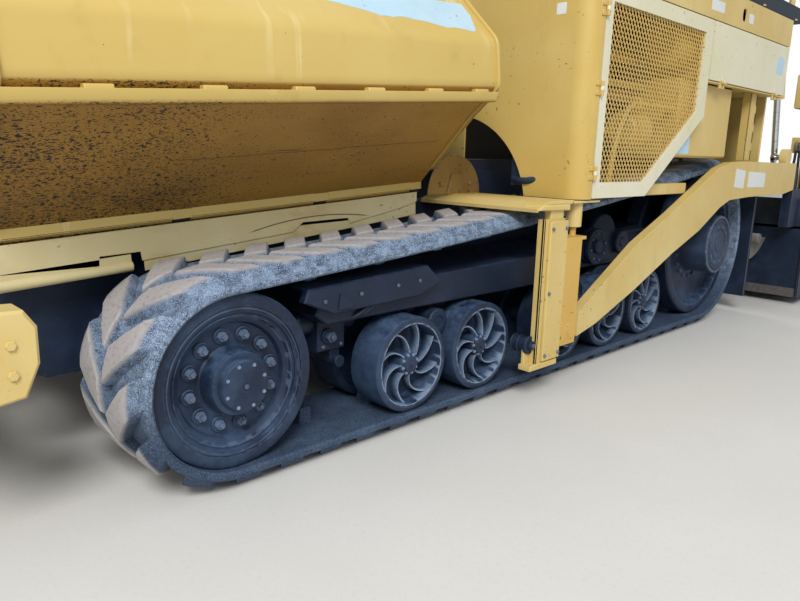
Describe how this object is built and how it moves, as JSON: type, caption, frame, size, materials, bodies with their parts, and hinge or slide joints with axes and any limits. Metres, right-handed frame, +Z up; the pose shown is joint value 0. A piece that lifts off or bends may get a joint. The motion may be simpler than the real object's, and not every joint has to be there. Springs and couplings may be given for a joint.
{
  "type": "tracked asphalt paver",
  "caption": "Tracked asphalt paver with folding hopper wings, slat conveyors, augers, tow arms on height slides and a floating screed",
  "frame": {"origin": "centre of the bounding box, on the ground under the tracks", "axes": "+Z up, -Y towards the hopper at the front, +Y towards the screed, +X to the left side of the machine"},
  "size_m": [3, 6.8319, 3.78],
  "materials": {
    "body_paint": "matte",
    "slide_paint": "matte",
    "undercarriage": "matte",
    "dark_paint": "matte",
    "engine_paint": "rough",
    "belt_rubber": "matte",
    "bare_steel": "satin",
    "bright_rod": "polished",
    "dark_plastic": "matte"
  },
  "bodies": {
    "machine": {"chassis": "undercarriage", "hopper_floor": "body_paint", "conveyors": "bare_steel", "engine": "engine_paint", "push_beam": "body_paint", "left_track_frame": "undercarriage", "right_track_frame": "undercarriage", "left_wheels": "undercarriage", "right_wheels": "undercarriage", "left_belt": "belt_rubber", "right_belt": "belt_rubber", "left_tow_post": "body_paint", "right_tow_post": "body_paint", "left_front_panel": "body_paint", "right_front_panel": "body_paint", "hood_sides": "body_paint", "left_side_body": "body_paint", "right_side_body": "body_paint", "engine_bay": "dark_paint", "deck": "dark_paint", "stations": "dark_plastic", "left_handrail": "body_paint", "right_handrail": "body_paint", "canopy_posts": "body_paint", "canopy": "body_paint", "auger_frame": "undercarriage", "rear_frame": "body_paint"},
    "left_wing": {"left_wing": "body_paint"},
    "right_wing": {"right_wing": "body_paint"},
    "left_push_roller": {"left_push_roller": "bare_steel"},
    "right_push_roller": {"right_push_roller": "bare_steel"},
    "left_auger": {"left_auger": "bare_steel"},
    "right_auger": {"right_auger": "bare_steel"},
    "left_door": {"left_door": "body_paint", "left_door_mesh": "body_paint"},
    "right_door": {"right_door": "body_paint", "right_door_mesh": "body_paint"},
    "left_hatch": {"left_hatch": "body_paint"},
    "right_hatch": {"right_hatch": "body_paint"},
    "hood_lid": {"hood_lid": "body_paint"},
    "tow_slides": {"tow_slides": "slide_paint"},
    "screed": {"left_tow_arm": "body_paint", "right_tow_arm": "body_paint", "screed": "undercarriage", "screed_walkway": "dark_paint"},
    "left_extension": {"left_extension": "undercarriage"},
    "right_extension": {"right_extension": "undercarriage"},
    "left_lift_barrel": {"left_lift_barrel": "body_paint"},
    "right_lift_barrel": {"right_lift_barrel": "body_paint"},
    "left_lift_rod": {"left_lift_rod": "bright_rod"},
    "right_lift_rod": {"right_lift_rod": "bright_rod"}
  },
  "joints": [
    {"name": "left_wing_fold", "type": "hinge", "parent": "machine", "child": "left_wing", "pos_m": [0.755, -1.074, 0.94], "axis": [0, 0.9976, 0.0698], "range_deg": [0, 45]},
    {"name": "right_wing_fold", "type": "hinge", "parent": "machine", "child": "right_wing", "pos_m": [-0.755, -1.074, 0.94], "axis": [0, -0.9976, -0.0698], "range_deg": [0, 45]},
    {"name": "left_roller_spin", "type": "hinge", "parent": "machine", "child": "left_push_roller", "pos_m": [0, -3.324, 0.523], "axis": [1, 0, 0], "continuous": true},
    {"name": "left_auger_spin", "type": "hinge", "parent": "machine", "child": "left_auger", "pos_m": [0, 2.261, 0.52], "axis": [1, 0, 0], "continuous": true},
    {"name": "left_door_swing", "type": "hinge", "parent": "machine", "child": "left_door", "pos_m": [1.4193, -0.576, 1.4], "axis": [0, 0, -1], "range_deg": [0, 110]},
    {"name": "left_hatch_fold", "type": "hinge", "parent": "machine", "child": "left_hatch", "pos_m": [1.4193, 0.586, 1.548], "axis": [0, 1, 0], "range_deg": [0, 90]},
    {"name": "right_roller_spin", "type": "hinge", "parent": "machine", "child": "right_push_roller", "pos_m": [0, -3.324, 0.523], "axis": [1, 0, 0], "continuous": true},
    {"name": "right_auger_spin", "type": "hinge", "parent": "machine", "child": "right_auger", "pos_m": [0, 2.261, 0.52], "axis": [1, 0, 0], "continuous": true},
    {"name": "right_door_swing", "type": "hinge", "parent": "machine", "child": "right_door", "pos_m": [-1.4193, -0.576, 1.4], "axis": [0, 0, 1], "range_deg": [0, 110]},
    {"name": "right_hatch_fold", "type": "hinge", "parent": "machine", "child": "right_hatch", "pos_m": [-1.4193, 0.586, 1.548], "axis": [0, -1, 0], "range_deg": [0, 90]},
    {"name": "hood_lift", "type": "hinge", "parent": "machine", "child": "hood_lid", "pos_m": [0, 0.572, 2.3553], "axis": [-1, 0, 0], "range_deg": [0, 70]},
    {"name": "tow_height", "type": "slide", "parent": "machine", "child": "tow_slides", "axis": [0, 0, 1], "range_m": [-0.06, 0.03]},
    {"name": "screed_lift", "type": "hinge", "parent": "tow_slides", "child": "screed", "pos_m": [0, -0.684, 0.308], "axis": [1, 0, 0], "range_deg": [0, 7]},
    {"name": "left_extension_slide", "type": "slide", "parent": "screed", "child": "left_extension", "axis": [1, 0, 0], "range_m": [0, 1.1]},
    {"name": "right_extension_slide", "type": "slide", "parent": "screed", "child": "right_extension", "axis": [-1, 0, 0], "range_m": [0, 1.1]},
    {"name": "left_lift_swing", "type": "hinge", "parent": "machine", "child": "left_lift_barrel", "pos_m": [0, 1.926, 1.99], "axis": [-1, 0, 0], "range_deg": [-0.5, 5]},
    {"name": "left_lift_stroke", "type": "slide", "parent": "left_lift_barrel", "child": "left_lift_rod", "axis": [0, -0.229, 0.9734], "range_m": [0, 0.357]},
    {"name": "right_lift_swing", "type": "hinge", "parent": "machine", "child": "right_lift_barrel", "pos_m": [0, 1.926, 1.99], "axis": [-1, 0, 0], "range_deg": [-0.5, 5]},
    {"name": "right_lift_stroke", "type": "slide", "parent": "right_lift_barrel", "child": "right_lift_rod", "axis": [0, -0.229, 0.9734], "range_m": [0, 0.357]}
  ],
  "couplings": [
    {"joint": "left_lift_swing", "follows": "screed_lift", "ratio": 0.66352},
    {"joint": "left_lift_stroke", "follows": "screed_lift", "m_per_rad": 2.8945},
    {"joint": "right_lift_swing", "follows": "screed_lift", "ratio": 0.66352},
    {"joint": "right_lift_stroke", "follows": "screed_lift", "m_per_rad": 2.8945}
  ]
}
